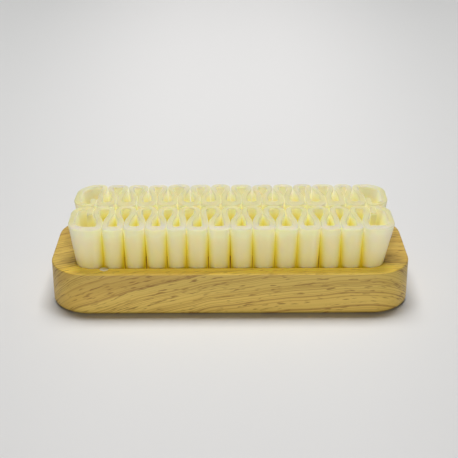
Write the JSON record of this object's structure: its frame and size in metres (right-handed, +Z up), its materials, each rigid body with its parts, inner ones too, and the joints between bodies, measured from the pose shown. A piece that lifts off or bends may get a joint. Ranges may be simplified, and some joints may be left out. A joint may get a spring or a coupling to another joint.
{
  "type": "suede brush",
  "caption": "Suede cleaning brush: rounded beech back with a milled pocket that holds two folded crepe rubber ribbons standing on edge.",
  "frame": {"origin": "bottom centre of the wooden block, on the face it rests on", "axes": "+X along the length of the block, +Y to the rear side, +Z up through the crepe"},
  "size_m": [0.125, 0.0492, 0.0304],
  "materials": {
    "beech": "oiled beech, satin, fine grain along the length",
    "crepe": "raw crepe rubber, matt, milky and slightly translucent",
    "glue": "dried glue, cloudy"
  },
  "bodies": {
    "root": {"beech_block": "beech", "front_crepe_ribbon": "crepe", "rear_crepe_ribbon": "crepe", "glue_bed": "glue", "glue_bead": "glue"}
  },
  "joints": []
}
